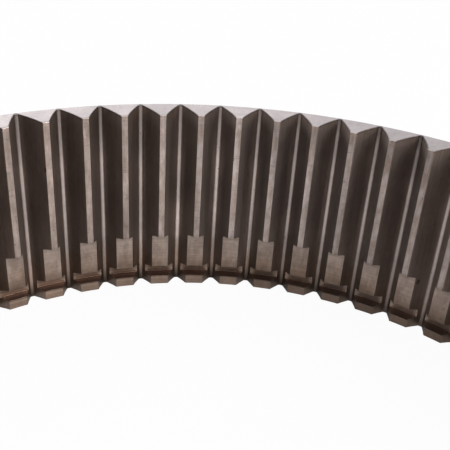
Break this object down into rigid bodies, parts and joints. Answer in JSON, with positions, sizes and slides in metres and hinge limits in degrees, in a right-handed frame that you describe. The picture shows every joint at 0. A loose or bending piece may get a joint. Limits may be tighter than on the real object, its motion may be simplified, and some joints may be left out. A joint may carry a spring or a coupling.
{
  "type": "internal ring gear",
  "caption": "Internal spur ring gear with bored-back tooth tips, a retaining-ring groove at one end and a plain outer wall.",
  "frame": {"origin": "centre of the lower end face, the one beside the retaining-ring groove", "axes": "+Z along the ring's axis towards the plain end face, +Y through the middle of a tooth"},
  "size_m": [0.316, 0.316, 0.0844],
  "materials": {
    "machined_steel": "satin"
  },
  "bodies": {
    "root": {"ring_gear": "machined_steel"}
  },
  "joints": []
}
